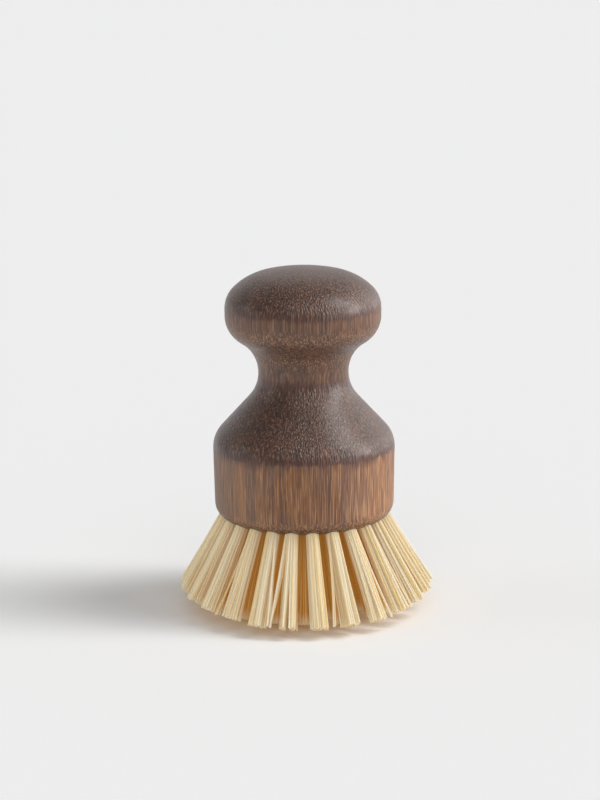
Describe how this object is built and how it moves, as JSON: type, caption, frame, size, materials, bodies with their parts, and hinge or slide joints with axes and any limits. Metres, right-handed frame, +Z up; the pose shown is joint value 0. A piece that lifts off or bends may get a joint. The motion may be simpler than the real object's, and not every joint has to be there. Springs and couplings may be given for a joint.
{
  "type": "palm brush",
  "caption": "Round palm brush: a turned dark bamboo handle with a knob, a waist and a drum-shaped base, drilled underneath for rows of splayed plant-fibre tufts held by steel anchors.",
  "frame": {"origin": "on the handle's axis, on the surface that the brush stands on with its bristles down", "axes": "+Z up along the handle's axis, from the bristles to the knob; +X to the right and -Y towards the viewer, as pictured"},
  "size_m": [0.0709, 0.0709, 0.0939],
  "materials": {
    "dark_bamboo": "dark heat-treated bamboo, oiled, satin",
    "plant_fibre": "undyed stiff plant fibre, cut ends",
    "anchor_steel": "flat steel strip, cut ends"
  },
  "bodies": {
    "root": {"handle": "dark_bamboo", "anchors": "anchor_steel", "centre_tuft": "plant_fibre", "inner_tuft_01": "plant_fibre", "inner_tuft_02": "plant_fibre", "inner_tuft_03": "plant_fibre", "inner_tuft_04": "plant_fibre", "inner_tuft_05": "plant_fibre", "middle_tuft_01": "plant_fibre", "middle_tuft_02": "plant_fibre", "middle_tuft_03": "plant_fibre", "middle_tuft_04": "plant_fibre", "middle_tuft_05": "plant_fibre", "middle_tuft_06": "plant_fibre", "middle_tuft_07": "plant_fibre", "middle_tuft_08": "plant_fibre", "middle_tuft_09": "plant_fibre", "middle_tuft_10": "plant_fibre", "wide_tuft_01": "plant_fibre", "wide_tuft_02": "plant_fibre", "wide_tuft_03": "plant_fibre", "wide_tuft_04": "plant_fibre", "wide_tuft_05": "plant_fibre", "wide_tuft_06": "plant_fibre", "wide_tuft_07": "plant_fibre", "wide_tuft_08": "plant_fibre", "wide_tuft_09": "plant_fibre", "wide_tuft_10": "plant_fibre", "wide_tuft_11": "plant_fibre", "wide_tuft_12": "plant_fibre", "wide_tuft_13": "plant_fibre", "wide_tuft_14": "plant_fibre", "wide_tuft_15": "plant_fibre", "wide_tuft_16": "plant_fibre", "outer_tuft_01": "plant_fibre", "outer_tuft_02": "plant_fibre", "outer_tuft_03": "plant_fibre", "outer_tuft_04": "plant_fibre", "outer_tuft_05": "plant_fibre", "outer_tuft_06": "plant_fibre", "outer_tuft_07": "plant_fibre", "outer_tuft_08": "plant_fibre", "outer_tuft_09": "plant_fibre", "outer_tuft_10": "plant_fibre", "outer_tuft_11": "plant_fibre", "outer_tuft_12": "plant_fibre", "outer_tuft_13": "plant_fibre", "outer_tuft_14": "plant_fibre", "outer_tuft_15": "plant_fibre", "outer_tuft_16": "plant_fibre", "outer_tuft_17": "plant_fibre", "outer_tuft_18": "plant_fibre", "outer_tuft_19": "plant_fibre", "outer_tuft_20": "plant_fibre", "outer_tuft_21": "plant_fibre", "outer_tuft_22": "plant_fibre", "outer_tuft_23": "plant_fibre", "outer_tuft_24": "plant_fibre", "outer_tuft_25": "plant_fibre"}
  },
  "joints": []
}
